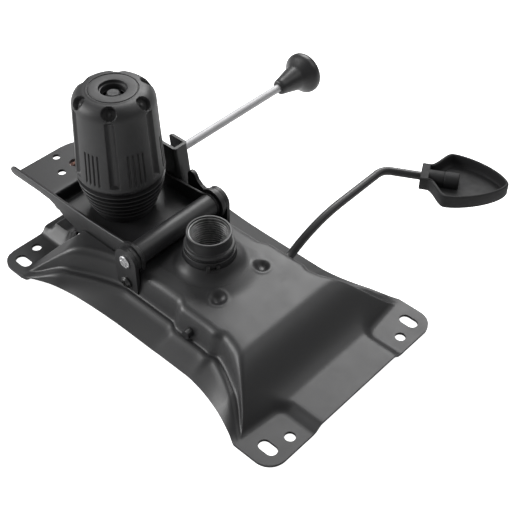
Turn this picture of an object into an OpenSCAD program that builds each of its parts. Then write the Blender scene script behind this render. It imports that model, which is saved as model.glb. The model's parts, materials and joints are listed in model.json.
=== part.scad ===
// Push back tilt mechanism of an office chair, shown with its seat side down.
// Origin: centre of the four seat slots, on the plane that meets the seat.
// +X to the chair's front, +Y to the side of the two levers, +Z away from the seat.
// All sizes are in millimetres.

/* [Seat plate] */
// Spacing of the four seat slots from front to back
slot_span_x = 260; // [250:1:280]
// Spacing of the four seat slots from side to side
slot_span_y = 156; // [152:1:170]
// Width of a seat slot
slot_w = 9; // [7:0.5:10]
// End to end length of a seat slot
slot_l = 15; // [12:0.5:18]
// Diameter of the round hole beside each slot
ear_hole_d = 8; // [6:0.5:9]
// Thickness of the pressed seat plate
sheet = 2.3; // [2:0.1:2.6]
// Height of the raised platform above the seat
platform_z = 32; // [30:0.5:34]

/* [Gas lift socket] */
// Bore of the socket that takes the gas lift
socket_bore_d = 28.6; // [27.6:0.1:29.4]
// Height of the socket's rim above the seat
socket_top_z = 64; // [58:0.5:70]

/* [Tilt tray] */
// Width over the tray's side walls
tray_w = 81; // [78:0.5:82]
// Reach of the tray's rear plate behind the pivot
tray_reach = 137.5; // [130:0.5:150]
// Outer diameter of the pivot tube
tube_d = 18; // [17:0.5:19]

/* [Tension knob] */
// Diameter of the knob at its lower rim
knob_d = 69; // [64:0.5:71]
// Height of the knob's top above the seat
knob_top_z = 143; // [138:0.5:150]
// Wire diameter of the tension spring
wire_d = 4.4; // [3.6:0.1:4.8]

/* [Levers] */
// Diameter of the rod of each lever
rod_d = 7; // [6:0.5:7.5]
// Distance from the mid plane to the open end of the lock knob
lock_reach = 215; // [190:1:240]
// Straight run of the lift lever before its last bend
lift_run = 48; // [20:1:55]

/* [Hidden] */
$fn = 96;

// clearances between pieces
run_gap = 0.05;
weld_gap = 0.02;
side_gap = 0.6;

// seat plate outline
half_l = slot_span_x / 2 + 15;
half_w = slot_span_y / 2 + 13.5;
ear_corner_r = 14;
fx = slot_span_x / 260;
fy = slot_span_y / 156;
hole_x = half_l - 10.1;
hole_y = half_w - 30.2;

// pivot
pivot_x = -38;
pivot_z = platform_z + 10;
pin_r = 5;
tube_r = tube_d / 2;
collar_r = tube_r + 3.5;
ear_t = 3;
ear_w = 22;
wall_y = tray_w / 2;
collar_y = wall_y + 0.1;
bush_y = collar_y + 2.6;
ear_y = bush_y + 3.3;
tray_t = 2.5;
opening_y = wall_y + side_gap;
open_lo = -109.5;
open_hi = -50;

// tension column
bolt_x = -94.5;
floor_z = platform_z + 2.5;
cup_r = 22.8;
cup_top = floor_z + 7.8;
rim_z = knob_top_z - 71;
knob_r = knob_d / 2;
knob_in_r = knob_r - 6;
hub_z = rim_z + 49;
spring_r = 18;
spring_lo = floor_z + 2.1;
spring_hi = hub_z - 2.2;
turns = 11;

// levers
lock_x = -89.4;
lock_z = platform_z + 26.5;
bracket_z = platform_z + 41;
lift_x = 30;
lift_z = platform_z - 13.2;
rod_r = rod_d / 2;

// smooth step from 0 to 1
function st(t) = t <= 0 ? 0 : t >= 1 ? 1 : t * t * (3 - 2 * t);
// lesser and greater of two heights, rounded where they meet
function smin(p, q, r) = let (h = max(r - abs(p - q), 0) / r) min(p, q) - h * h * r / 4;
function smax(p, q, r) = -smin(-p, -q, r);
// slope of one to one that sets in smoothly over 2w
function ramp(t, w) = t <= -w ? 0 : t >= w ? t : pow(t + w, 2) / (4 * w);
// outward sweep that starts at a and reaches 1 at a + b
function flare(u, a, b, p) = pow(max(0, (u - a) / b), p);
// bulge of the wall where the lift lever passes through it
function pad(u) = st((u - 12) / 6) * (1 - st((u - 51) / 6));

// half width of the upper edge of the platform, at x
function crest(x) = let (u = x / fx)
    min(half_w - 7, opening_y + 3.4 + 3.8 * pad(u) + 36.5 * fy * flare(u, 38, 71, 2.2)
    + 35 * fy * flare(-u, 42, 72, 1.5));
// half width of the ledge below the wall
function ledge(x) = let (u = x / fx)
    min(half_w - 4, max(crest(x) + 2.5, 52 * fy + 4.3 * pad(u) + 33 * fy * flare(u, 44, 64, 1.5)
    + 35 * fy * flare(-u, 36, 76, 1.25)));
// half width of the free edge of the skirt
function hem(x) = let (u = x / fx)
    min(half_w - (u < 0 ? 1.5 : 0), max(ledge(x) + 1.5, 73.7 * fy
    + 18.2 * fy * flare(u, 46, 66, 1.7) + 16.2 * fy * flare(-u, 5, 113, 2.6)));
// share of the ledge's height reached at x
function low(x) = let (u = x / fx) 1 - st((abs(u) - 86) / (u < 0 ? 32 : 27));
function ledge_z(x) = sheet + 11.7 * low(x);
function hem_z(x) = sheet + 3.2 * low(x);

// front slope, its tongue and the pocket with rounded corner on each side of it
function front_z(u, a) = let (tongue = sheet + 4.2,
    slope = tongue + (platform_z - tongue) * (1 - st((u - 75) / 42)),
    r = 7, p = r - u + 114.8 - 0.11 * max(0, a - 50), q = r - a + 46.5,
    d = r - norm([max(p, 0), max(q, 0)]) - min(max(p, q), 0))
    smax(sheet, smin(slope, sheet - 1.15 * d, 3), 2.5);
// foot of the steep rear wall, which sweeps back at the sides
function rear_foot(a) = -121.5 + 0.0091 * pow(min(29.6, max(0, 76 - a)), 2);
// rear slope, its steep wall and the raised flange behind the opening
function rear_z(u, a) = let (top = platform_z - 0.8 * ramp(0.55 * a - 0.83 * u - 105, 6),
    wall = sheet + 1.73 * (u - rear_foot(a)),
    flange = sheet + 5.7 * (1 - st((a - 43) / 5.5))
    + (1 - st((a - 40) / 2.6)) * (5 * st((u + 139.5) / 4) + 6 * st((u + 124) / 12)))
    smax(flange, smin(top, wall, 4), 3);
// height of the plate's upper side between the two crests
function inner_z(x, y) = let (u = x / fx, a = abs(y) / fy) u > 0 ? front_z(u, a) : rear_z(u, a);
// height of the sheet's cut where it slopes
function drop(x, y) = sheet * norm([1, (inner_z(x + 1, y) - inner_z(x - 1, y)) / 2,
    (inner_z(x, y + 1) - inner_z(x, y - 1)) / 2]);

// share by which the outer part of a section narrows for the round corners
function corner(x) = let (d = max(0, abs(x) - half_l + ear_corner_r))
    (half_w - 50 - ear_corner_r + sqrt(pow(ear_corner_r, 2) - d * d)) / (half_w - 50);
function squeeze(x, y) = y < 50 ? y : 50 + (y - 50) * corner(x);
// section at x, from the middle to the free edge: [y, z, y below, z below] of each column
function half_section(x) = let (c = crest(x), l = ledge(x), w = min(c + 4.4, l - 1), h = hem(x),
    m = inner_z(x, c - 2), t = drop(x, c - 2), zl = min(ledge_z(x), m), zh = min(hem_z(x), m),
    k = (m - zl) / (platform_z - 14), g = min(48, c - 3.6))
    [for (y = [28, min(40, c - 5), min(43.4, c - 4.2), g, (g + c - 3) / 2])
        let (z = inner_z(x, y)) [y, z, y, max(0, z - drop(x, y))],
    [c - 3, m - 0.1 * k, c - 3 - 0.2 * k, max(0, m - t)],
    [c - 0.4, m - 1.6 * k, c - 0.4 - 2 * k, max(0, m - t)],
    [c + 0.7, m - 4.6 * k, c + 0.7 - 2.2 * k, max(0, m - 5.3 * k - t * (1 - k))],
    [w, zl + 2.2 * k, w - 1.3 * k, zl - sheet + 0.4 * k],
    [w + (l - w) * 0.35, zl + 0.3 * k, w + (l - w) * 0.35 - 0.4 * k, zl - sheet],
    [l, zl, l - 0.3 * k, zl - sheet],
    for (q = [[0.3, 0.24], [0.65, 0.6]]) let (y = l + (h - l) * q[0], z = zl + (zh - zl) * q[1])
        [y, z, y - 0.4 * k, z - sheet],
    [h, zh, h - 0.3 * k, zh - sheet]];
// the stations bend along the feet of the two end slopes
function bow(x, y) = let (u = x / fx, a = y / fy)
    u > 0 ? -0.11 * max(0, a - 50) * st((u - 95) / 16) * (1 - st((u - 120) / 16))
    : (rear_foot(a) + 121.5) * st((-u - 96) / 22) * (1 - st((-u - 122) / 18));

// stations along X, closer together where the sheet bends
station = [for (q = [0, 2.5, 8]) -half_l + q, for (u = [-131, -126, -123, -120.5, -118, -115, -111,
    -106, -100, -94, -88, -81, -73, -64, -54, -42, -20, 12, 18, 51, 57, 66, 74, 81, 88, 94, 100,
    105, 109, 112, 115, 118, 122, 131]) u * fx, for (q = [8, 2.5, 0]) half_l - q];
rows = len(station) - 1;
half_grid = [for (x = station) let (h = half_section(x)) [for (j = [0:len(h) - 1])
    let (v = x + bow(x, h[j][0]), p = half_section(v)[j])
    [[v, squeeze(v, p[0]), p[1]], [v, squeeze(v, p[2]), p[3]]]]];
half_n = len(half_grid[0]);
cols = 2 * half_n;

module panel() {
    n = (rows + 1) * cols;
    points = [for (k = [0, 1], i = [0:rows], j = [0:cols - 1])
        let (s = j < half_n ? -1 : 1, p = half_grid[i][j < half_n ? half_n - 1 - j : j - half_n][k])
        [p[0], s * p[1], p[2]]];
    faces = [for (i = [0:rows - 1], j = [0:cols - 2]) let (a = i * cols + j, b = a + 1,
            c = a + cols, d = c + 1)
            each [[a, b, c], [b, d, c], [n + a, n + c, n + b], [n + b, n + c, n + d]],
        for (j = [0:cols - 2]) let (a = j, b = j + 1, c = rows * cols + j, d = c + 1)
            each [[a, n + a, b], [b, n + a, n + b], [c, d, n + c], [d, n + d, n + c]],
        for (i = [0:rows - 1]) let (a = i * cols, b = a + cols, c = a + cols - 1, d = c + cols)
            each [[a, b, n + a], [b, n + b, n + a], [c, n + c, d], [d, n + c, n + d]]];
    polyhedron(points, faces, convexity = 8);
}

module slot_cut(l, w, h) {
    for (s = [-1, 1]) translate([s * (l - w) / 2, 0, 0]) cylinder(h = h, d = w, center = true);
    cube([l - w, w, h], center = true);
}

module on_four() {
    for (a = [-1, 1], b = [-1, 1]) scale([a, b, 1]) children();
}

// disc or shaft along Y, centred on the point [x, z], from y = a to y = b
module bar_y(x, z, r, a, b) {
    translate([x, b, z]) rotate([90, 0, 0]) cylinder(h = b - a, r = r);
}

module ring_y(x, z, r, hole, a, b) {
    difference() {
        bar_y(x, z, r, a, b);
        bar_y(x, z, hole, a - 1, b + 1);
    }
}

module ring_z(r, hole, a, b) {
    difference() {
        translate([0, 0, a]) cylinder(h = b - a, r = r);
        translate([0, 0, a - 1]) cylinder(h = b - a + 2, r = hole);
    }
}

module seat_plate() color("dimgray") difference() {
    panel();
    // opening for the tray
    translate([open_lo, -opening_y, 5]) cube([open_hi - open_lo, 2 * opening_y, 60]);
    for (a = [-1, 1], b = [-1, 1]) {
        translate([a * slot_span_x / 2, b * slot_span_y / 2, 0]) slot_cut(slot_l, slot_w, 20);
        translate([a * hole_x, b * hole_y, 0]) cylinder(h = 20, d = ear_hole_d, center = true);
    }
    // seat of the socket tube
    cylinder(h = 120, r = socket_bore_d / 2 + 2.7 + weld_gap, center = true);
    // passage of the lift lever through both walls
    bar_y(lift_x, lift_z, rod_r + run_gap, -70, 70);
    // two shallow dimples beside the socket
    for (s = [-1, 1]) translate([31, s * 23.3, platform_z + 12.8]) sphere(r = 14.4);
    // room for the collars of the pivot tube
    room = collar_r + side_gap;
    for (s = [-1, 1]) translate([pivot_x, s * (collar_y + 1.25), platform_z])
        cube([2 * sqrt(pow(room, 2) - pow(pivot_z - platform_z, 2)), 2.5 + 2 * side_gap,
            2 * (platform_z - pivot_z + room)], center = true);
    // pilot holes of the ear screws
    for (s = [-1, 1]) bar_y(pivot_x, 21.5, 2.5 + run_gap, s * 46 - 8, s * 46 + 8);
}

// raised collar that carries the socket
module socket_boss() color("dimgray") {
    r = socket_bore_d / 2 + 2.7 + weld_gap;
    z = platform_z + weld_gap;
    rotate_extrude() polygon([[r, z], [r, z + 9.4], [r + 2.4, z + 9.4],
        for (t = [0:15:90]) [r + 2.7 + 12 * (1 - cos(t)), z + 1.6 + 7.6 * (1 - sin(t))],
        [r + 14.7, z]]);
}

module cylinder_socket() color("dimgray") {
    r = socket_bore_d / 2;
    rotate_extrude() polygon([[r, 18], [r, socket_top_z - 0.6], [r + 0.6, socket_top_z],
        [r + 2.1, socket_top_z], [r + 2.7, socket_top_z - 0.7], [r + 2.7, platform_z + 20.6],
        for (t = [60:-30:-90]) [r + 2.6 + 2.4 * cos(t), platform_z + 19.2 + 2.4 * sin(t)],
        [r + 2.7, platform_z + 16.4], [r + 2.7, 18]]);
    // thicker band between the bead and the boss
    ring_z(r + 5.5, r + 2.6, platform_z + 9.6, platform_z + 16.5);
}

module socket_clip() color("gray") rotate([0, 0, -38]) {
    translate([socket_bore_d / 2 + 5.6, 0, platform_z + 12.8]) {
        translate([0.9, -3.6, 0]) cube([1.8, 2.4, 5], center = true);
        translate([0.9, 3.6, 0]) cube([1.8, 2.4, 5], center = true);
        translate([1.1, 0, -1.6]) cube([1.4, 7, 1.4], center = true);
    }
}

// the far ear has a wing behind it that ends in a round hump
wing = [[-32, platform_z - 1 - pivot_z], [-22, platform_z - 1 - pivot_z],
    [-8, platform_z - 9 - pivot_z], [-8, 1.2], [-13.4, 2.3], [-18, 4], [-21.8, 7],
    for (t = [40:20:180]) [4.5 * cos(t) - 27.5, 4.5 * sin(t) + 8.6]];
module ear_shape(has_wing) difference() {
    union() {
        translate([pivot_x, pivot_z]) circle(r = ear_w / 2);
        translate([pivot_x - ear_w / 2, 15]) square([ear_w, pivot_z - 15]);
        if (has_wing) translate([pivot_x, pivot_z]) polygon(wing);
    }
    translate([pivot_x, pivot_z]) circle(r = pin_r + run_gap);
    translate([pivot_x, 21.5]) circle(r = 2.5 + run_gap);
}

module pivot_ear_near() color("dimgray")
    translate([0, -ear_y, 0]) rotate([90, 0, 0]) linear_extrude(ear_t) ear_shape(false);

module pivot_ear_far() color("dimgray")
    translate([0, ear_y + ear_t, 0]) rotate([90, 0, 0]) linear_extrude(ear_t) ear_shape(true);

// cross recessed screw with its head on the outside, pointing to -Y
module ear_screw() difference() {
    union() {
        bar_y(pivot_x, 21.5, 2.5, -ear_y - ear_t, -ear_y + 8);
        translate([pivot_x, -ear_y - ear_t, 21.5]) rotate([90, 0, 0]) {
            cylinder(h = 1.4, r = 4.9);
            translate([0, 0, 1.4]) cylinder(h = 1.6, r1 = 4.9, r2 = 3);
        }
    }
    translate([pivot_x, -ear_y - ear_t - 3, 21.5]) for (a = [0, 90]) rotate([0, a, 0])
        cube([1.1, 2.4, 5], center = true);
}

module ear_screw_near() color("black") ear_screw();
module ear_screw_far() color("black") mirror([0, 1, 0]) ear_screw();

pin_end = ear_y + ear_t;
module pivot_pin() color("silver") {
    bar_y(pivot_x, pivot_z, pin_r, -pin_end - 1, pin_end + 2.5);
    bar_y(pivot_x, pivot_z, pin_r + 0.3, -pin_end - 1.6, -pin_end - weld_gap);
}

module pivot_pin_cap() color("silver")
    ring_y(pivot_x, pivot_z, pin_r + 2.4, pin_r, pin_end + weld_gap, pin_end + 2.4);

// strap under the plate that anchors the tension bolt
module bolt_bridge() color("dimgray") difference() {
    union() {
        translate([bolt_x - 5.5, -49, 13]) cube([11, 98, 4]);
        for (s = [-1, 1]) translate([0, s * 47 + 2, 0]) rotate([90, 0, 0]) linear_extrude(4)
            polygon([[bolt_x - 5.5, 14], [bolt_x + 5.5, 14],
            [bolt_x + 5.5, inner_z(bolt_x + 5.5, 47) - 1.9],
            [bolt_x - 5.5, inner_z(bolt_x - 5.5, 47) - 1.9]]);
        translate([bolt_x, 0, 13]) cylinder(h = 4, r = 12);
    }
    translate([bolt_x, 0, 0]) cylinder(h = 30, r = pin_r + run_gap);
}

module bolt_washer() color("silver") translate([bolt_x, 0, 0])
    ring_z(9.5, pin_r + run_gap, 11, 13 - weld_gap);

module tension_bolt() color("silver") translate([bolt_x, 0, 0]) {
    translate([0, 0, 10.9]) cylinder(h = knob_top_z - 15.4, r = pin_r);
    translate([0, 0, 4.6]) cylinder(h = 6.35, r = 9.2, $fn = 6);
    translate([0, 0, knob_top_z - 4.6]) cylinder(h = 0.8, r1 = pin_r, r2 = pin_r - 0.8);
}

// fixed plate between the two cheeks of the lock bracket
stay_y = wall_y + 3.2;
module lock_stay() color("dimgray") difference() {
    translate([0, stay_y + tray_t, 0]) rotate([90, 0, 0]) linear_extrude(tray_t) polygon([
        [-95.5, inner_z(-95.5, 47) - 0.9], [-83.5, inner_z(-83.5, 47) - 0.9],
        [-83.5, lock_z + 6], [-86, lock_z + 11], [-91, lock_z + 11], [-95.5, lock_z + 5]]);
    bar_y(lock_x, lock_z, rod_r + 0.4, 0, 90);
}

tail_x = pivot_x - tray_reach;
wall_top = platform_z + 13.8;
module tray_wall(tip) rotate([90, 0, 0]) linear_extrude(tray_t) difference() {
    union() {
        translate([pivot_x, pivot_z]) circle(r = tube_r + 0.7);
        polygon([[pivot_x, pivot_z + tube_r + 1], [-48, platform_z + 16.4], [-70, platform_z + 14.8],
            [-92, wall_top], [tip + 5, wall_top], [tip + 2, wall_top - 1.2],
            [tip, wall_top - 4], [tip + 1.4, wall_top - 7], [tip + 4.5, wall_top - 8],
            [-150, wall_top - 7.4], [-138, wall_top - 8.2], [-128, wall_top - 11.6],
            [-120, wall_top - 17], [open_lo - 0.7, wall_top - 19.4], [open_lo + 0.8, platform_z - 9],
            [-56, platform_z - 9], [open_hi - 1, platform_z - 5], [open_hi - 1, platform_z + 0.4],
            [pivot_x, platform_z + 0.4]]);
    }
    translate([pivot_x, pivot_z]) circle(r = tube_r + weld_gap);
}

module tilt_tray() color("dimgray") difference() {
    union() {
        translate([0, -wall_y + tray_t, 0]) tray_wall(tail_x - 11);
        translate([0, wall_y, 0]) tray_wall(tail_x + 12);
        // floor of the pan
        translate([-131, -wall_y + 1, floor_z - tray_t]) cube([87, tray_w - 2, tray_t]);
        // step up to the rear plate
        translate([-133.5, -wall_y + 1, floor_z - tray_t])
            cube([tray_t, tray_w - 2, wall_top - floor_z + 2]);
        // rear plate that takes the back bar
        translate([0, 0, wall_top - 3]) linear_extrude(tray_t) polygon([[-131.5, -wall_y + 1],
            [tail_x, -wall_y + 1], [tail_x, 5], [tail_x + 0.8, 10], [tail_x + 2.6, 15],
            [tail_x + 6, 21], [tail_x + 12, 28], [tail_x + 19, wall_y - 1],
            [-131.5, wall_y - 1]]);
    }
    bar_y(pivot_x, pivot_z, tube_r + weld_gap, -wall_y - 1, wall_y + 1);
    translate([bolt_x, 0, floor_z]) slot_cut(17, 15, 10);
    translate([-167.8, -7.5, 40]) cylinder(h = 20, r = 3.3);
    for (s = [-1, 1]) translate([-149.2, s * 16.9, 40]) cylinder(h = 20, r = 3.4);
    translate([-151, -1.5, 40]) cylinder(h = 20, r = 5);
}

module back_bar_nut() color("darkorange") translate([-151, -1.5, 0]) difference() {
    translate([0, 0, wall_top - 9]) cylinder(h = 6 - weld_gap, r = 8.6, $fn = 6);
    translate([0, 0, wall_top - 12]) cylinder(h = 12, r = 4);
}

module pivot_tube() color("dimgray")
    ring_y(pivot_x, pivot_z, tube_r, tube_r - 2.5, -wall_y - 0.1, wall_y + 0.1);

module tube_collar_near() color("dimgray")
    ring_y(pivot_x, pivot_z, collar_r, tube_r - 2.5, -collar_y - 2.5, -collar_y);

module tube_collar_far() color("dimgray")
    ring_y(pivot_x, pivot_z, collar_r, tube_r - 2.5, collar_y, collar_y + 2.5);

// flanged plastic bush in the near end of the tube
module bush() difference() {
    union() {
        bar_y(pivot_x, pivot_z, tube_r + 2, -bush_y - 3, -bush_y - weld_gap);
        bar_y(pivot_x, pivot_z, tube_r - 2.5 - run_gap, -bush_y - 1, -wall_y + 14);
    }
    bar_y(pivot_x, pivot_z, pin_r + run_gap, -60, 0);
}

module pivot_bush_near() color("black") bush();
module pivot_bush_far() color("black") mirror([0, 1, 0]) bush();

// folded channel welded to the far wall, leaning back
module lock_bracket() color("dimgray") difference() {
    translate([-74, 0, platform_z + 14]) rotate([0, -7.5, 0]) difference() {
        translate([0, 0, -11]) linear_extrude(43) difference() {
            translate([0, wall_y]) {
                translate([-19, 0]) square([16, 14.6]);
                translate([-16, 0]) square([13, 14.6]);
                for (y = [3, 11.6]) translate([-3, y]) circle(r = 3);
                translate([-3, 3]) square([3, 8.6]);
            }
            translate([-22, wall_y + tray_t]) square([19 - tray_t + 3, 14.6 - 2 * tray_t]);
        }
        // slanting upper edge of the two cheeks
        translate([-18, wall_y - 1, 28.5]) rotate([0, -20, 0]) translate([-14, 0, 0])
            cube([28, 20, 20]);
    }
    // the lock rod runs in the outer cheek alone
    bar_y(lock_x, lock_z, rod_r + run_gap, stay_y, 90);
    translate([-120, 0, bracket_z]) cube([80, 90, 20]);
}

module spring_cup() color("black") translate([bolt_x, 0, 0]) difference() {
    translate([0, 0, floor_z + weld_gap]) cylinder(h = cup_top - floor_z, r = cup_r);
    translate([0, 0, floor_z + 2]) cylinder(h = 20, r = cup_r - 2);
    cylinder(h = 90, r = 9);
}

// the spring's wire follows one line: flat end coils, open turns between them
steps = 20;
coil_h = spring_hi - spring_lo - wire_d;
close_p = wire_d + 0.5;
open_p = (coil_h - 2 * close_p) / (turns - 2);
function coil_z(t) = t < 1 ? t * close_p : t > turns - 1 ? coil_h - (turns - t) * close_p
    : close_p + (t - 1) * open_p;
coil_pts = [for (i = [0:turns * steps]) let (t = i / steps)
    [spring_r * cos(360 * t), spring_r * sin(360 * t), coil_z(t)]];
wire_gap = min([for (i = [0:(turns - 1) * steps]) norm(coil_pts[i + steps] - coil_pts[i])]) - wire_d;
echo(least_gap_between_spring_turns = wire_gap);

module tension_spring() color("silver") translate([bolt_x, 0, spring_lo + wire_d / 2]) {
    n = turns * steps;
    m = 8;
    points = [for (i = [0:n]) let (t = i / steps, a = 360 * t, c = coil_pts[i])
        for (k = [0:m - 1]) let (b = 360 * k / m)
        c + wire_d / 2 * [cos(a) * cos(b), sin(a) * cos(b), sin(b)]];
    faces = [[for (k = [0:m - 1]) k], [for (k = [m - 1:-1:0]) n * m + k],
        for (i = [0:n - 1], k = [0:m - 1]) let (a = i * m + k, b = i * m + (k + 1) % m)
        each [[a, a + m, b], [b, a + m, b + m]]];
    polyhedron(points, faces, convexity = 10);
}

// ribbed sleeve between the knob and the cup
boot_top = rim_z - 1;
rib_n = 5;
rib_p = (boot_top - 3 - cup_top - 1.5) / rib_n;
function rib_r(z) = knob_r - 0.5 - 0.0122 * pow((boot_top - 3 - z) * 27 / (boot_top - 3 - cup_top), 2);
module spring_boot() color("black") translate([bolt_x, 0, 0]) rotate_extrude() polygon([
    [knob_in_r - 1.6, boot_top + 2.6], [knob_in_r - 0.3, boot_top + 2.6],
    [knob_in_r - 0.3, boot_top + 0.4], [knob_r - 1.2, boot_top + 0.4],
    for (k = [0:rib_n - 1]) let (z = boot_top - 2.6 - k * rib_p, r = rib_r(z - rib_p * 0.4))
        each [[r - 3, z], [r - 0.6, z - rib_p * 0.28], [r, z - rib_p * 0.5],
        [r - 0.7, z - rib_p * 0.72]],
    [cup_r + 1.9, cup_top + 0.2], [cup_r + 0.1, cup_top - 1.6], [cup_r + 0.1, cup_top + 1.4],
    for (k = [rib_n - 1:-1:0]) let (z = boot_top - 2.6 - k * rib_p, r = rib_r(z - rib_p * 0.4))
        each [[r - 2.2, z - rib_p * 0.5], [r - 4.4, z]],
    [knob_r - 3.4, boot_top - 1], [knob_in_r - 1.6, boot_top - 0.6]]);

module thrust_washer() color("silver") translate([bolt_x, 0, 0])
    ring_z(21, pin_r + run_gap, hub_z - 2.1, hub_z - weld_gap);

nut_z = knob_top_z - 15;
module knob_nut() color("silver") translate([bolt_x, 0, nut_z]) difference() {
    cylinder(h = 8, r = 9.7, $fn = 6);
    translate([0, 0, -1]) cylinder(h = 10, r = pin_r + run_gap);
}

// outline of the knob's outer wall, from its lower rim to the edge of its top
function knob_side(q) = knob_r * (1 - 0.1 * pow(q, 0.8));
module knob_body() rotate_extrude() polygon([
    [knob_in_r, rim_z], [knob_r - 0.8, rim_z], [knob_r, rim_z + 1],
    for (q = [0.08:0.16:0.9]) [knob_side(q), rim_z + q * 60],
    for (t = [0:15:75]) [knob_side(1) - 11 * (1 - cos(t)), knob_top_z - 11.6 + 11.2 * sin(t)],
    [19.6, knob_top_z], [19.1, knob_top_z - 0.7], [18, knob_top_z - 0.7], [17.5, knob_top_z],
    [10.7, knob_top_z], [10.7, nut_z + 7.8], [5.6, nut_z + 7.8], [5.6, hub_z], [13.5, hub_z],
    [13.5, knob_top_z - 9], [knob_in_r - 6, knob_top_z - 9], [knob_in_r, knob_top_z - 20]]);

module tension_knob() color("black") translate([bolt_x, 0, 0]) difference() {
    knob_body();
    translate([0, 0, nut_z - run_gap]) cylinder(h = 8 + 2 * run_gap, r = 9.8, $fn = 6);
    for (k = [0:5]) rotate([0, 0, k * 60 - 48]) {
        // round dimple in the shoulder
        translate([20 + 14.2 * sin(41), 0, knob_top_z - 11.5 + 14.2 * cos(41)]) sphere(r = 7.2);
        // vertical flute below it
        translate([knob_side(1) + 2.7, 0, rim_z + 60]) rotate([0, 176.6, 0])
            translate([0, 0, -3]) cylinder(h = 56, r = 4.4);
    }
    for (k = [0:5]) rotate([0, 0, k * 60 - 48]) {
        // four short grooves between two flutes
        for (g = [-1.5:1:1.5]) rotate([0, 0, 30 + g * 6.6])
            translate([knob_side(0.3) + 0.5, 0, rim_z + 18]) rotate([0, -3.4, 0])
            cube([3, 1.5, 27], center = true);
    }
}

lock_in = stay_y + tray_t + 0.9;
module lock_rod() color("silver") bar_y(lock_x, lock_z, rod_r, lock_in, lock_reach - 20);

module lock_knob() color("black") difference() {
    translate([lock_x, lock_reach - 39.6, lock_z]) rotate([-90, 0, 0]) rotate_extrude() polygon([
        [0, 0], [5.6, 0], [6.6, 0.8], [7, 2.4], [10.6, 18.6], [11.1, 20.4], [12.6, 23.4],
        [15.2, 26.6], [17.2, 29.2], [18.1, 31.8], [18.1, 33.4], [17.3, 35.7], [15.4, 37.5],
        [12.2, 38.8], [7, 39.5], [0, 39.6]]);
    bar_y(lock_x, lock_z, rod_r + weld_gap, 0, lock_reach - 19.9);
}

module lock_clip() color("gray")
    ring_y(lock_x, lock_z, rod_r + 2.2, rod_r, wall_y + 14.7, wall_y + 15.7);

// straight rod along its own +Z, a hair thinner than a bend and let into the bends at its ends
module leg(l) translate([0, 0, -0.3]) cylinder(h = l + 0.6, r = rod_r - 0.02, $fn = 48);

// bent rod that starts along +Z and turns towards -X; children go on from its end
module follow(bend_r, a, is_rod) {
    if (is_rod) translate([-bend_r, 0, 0]) rotate([90, 0, 0]) rotate_extrude(angle = a, $fn = 48)
        translate([bend_r, 0]) circle(r = rod_r);
    translate([-bend_r * (1 - cos(a)), 0, bend_r * sin(a)]) rotate([0, -a, 0]) children();
}

module at_lever() translate([lift_x, -55.5, lift_z]) rotate([-90, 0, 0]) children();

rise = 27;
slope = 1.5;
turn = 61.5;
// length of the rod after its last bend, up to the paddle's neck and inside the paddle
to_neck = 24;
in_paddle = 22;
// runs along the lift lever as far as the neck of its paddle
module lever_path(is_rod) {
    if (is_rod) leg(108);
    translate([0, 0, 108]) rotate([0, 0, 90]) follow(18, rise, is_rod) {
        if (is_rod) leg(2);
        translate([0, 0, 2]) rotate([0, 0, 180]) follow(125, rise - slope, is_rod) {
            if (is_rod) leg(lift_run);
            translate([0, 0, lift_run]) rotate([0, 0, -90]) follow(12, turn, is_rod) children();
        }
    }
}

module lift_lever_rod() color("dimgray") at_lever() lever_path(true) leg(to_neck + in_paddle);

module lift_tongue() color("dimgray") difference() {
    union() {
        translate([0, 0, lift_z - 7.6]) cylinder(h = 4, r = 11);
        translate([0, -9, lift_z - 7.6]) cube([lift_x, 18, 4]);
        bar_y(lift_x, lift_z, rod_r + 2.6, -9, 9);
    }
    bar_y(lift_x, lift_z, rod_r, -20, 20);
}

module lever_clip() color("gray")
    ring_y(lift_x, lift_z, rod_r + 2.4, rod_r, -44.6, -43.4);

// place of the paddle at the lever's end: origin at its neck, +X along the rod
module at_lever_end() at_lever() lever_path(false)
    translate([0, 0, to_neck]) rotate([-90, 0, 0]) rotate([0, 0, -90]) children();

// half width of the paddle at s, smaller all round by inset: neck, S curve, round tip
paddle_l = 70;
function paddle_w(s, inset) = s < 24 ? 9.5 - inset + 18.3 * st((s - 6.5 - inset * 0.8) / 14)
    : (27.8 - inset) * pow(max(0, 1 - pow((s - 24) / (paddle_l - 24 - inset), 1.55)), 0.655);
module paddle_outline(start, inset) {
    side = [for (s = [start, 6.5, each [8.5:2:20.5], each [24:5:59], 62, 65, 67, 68.5, 69.5, 70])
        if (s >= start) let (t = s > 24 ? 24 + (s - 24) * (1 - inset / (paddle_l - 24)) : s)
        [t, paddle_w(t, inset)]];
    polygon([each side, for (k = [len(side) - 2:-1:0]) [side[k][0], -side[k][1]]]);
}

module lift_paddle() color("black") at_lever_end() difference() {
    boss_r = rod_r + 3;
    translate([0, 0, -6]) linear_extrude(12) paddle_outline(0, 0);
    difference() {
        translate([0, 0, -3.8]) linear_extrude(20) paddle_outline(7, 2.3);
        rotate([0, 90, 0]) cylinder(h = in_paddle + 3, r = boss_r);
        translate([0, -boss_r, -5]) cube([in_paddle + 3, 2 * boss_r, 5]);
    }
    translate([-1, 0, 0]) rotate([0, 90, 0]) cylinder(h = in_paddle + 1.4, r = rod_r + weld_gap);
}

seat_plate();
socket_boss();
cylinder_socket();
socket_clip();
pivot_ear_near();
pivot_ear_far();
ear_screw_near();
ear_screw_far();
pivot_pin();
pivot_pin_cap();
bolt_bridge();
bolt_washer();
tension_bolt();
lock_stay();
tilt_tray();
pivot_tube();
tube_collar_near();
tube_collar_far();
pivot_bush_near();
pivot_bush_far();
back_bar_nut();
lock_bracket();
spring_cup();
tension_spring();
spring_boot();
thrust_washer();
knob_nut();
tension_knob();
lock_rod();
lock_knob();
lock_clip();
lift_lever_rod();
lift_tongue();
lift_paddle();
lever_clip();
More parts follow.
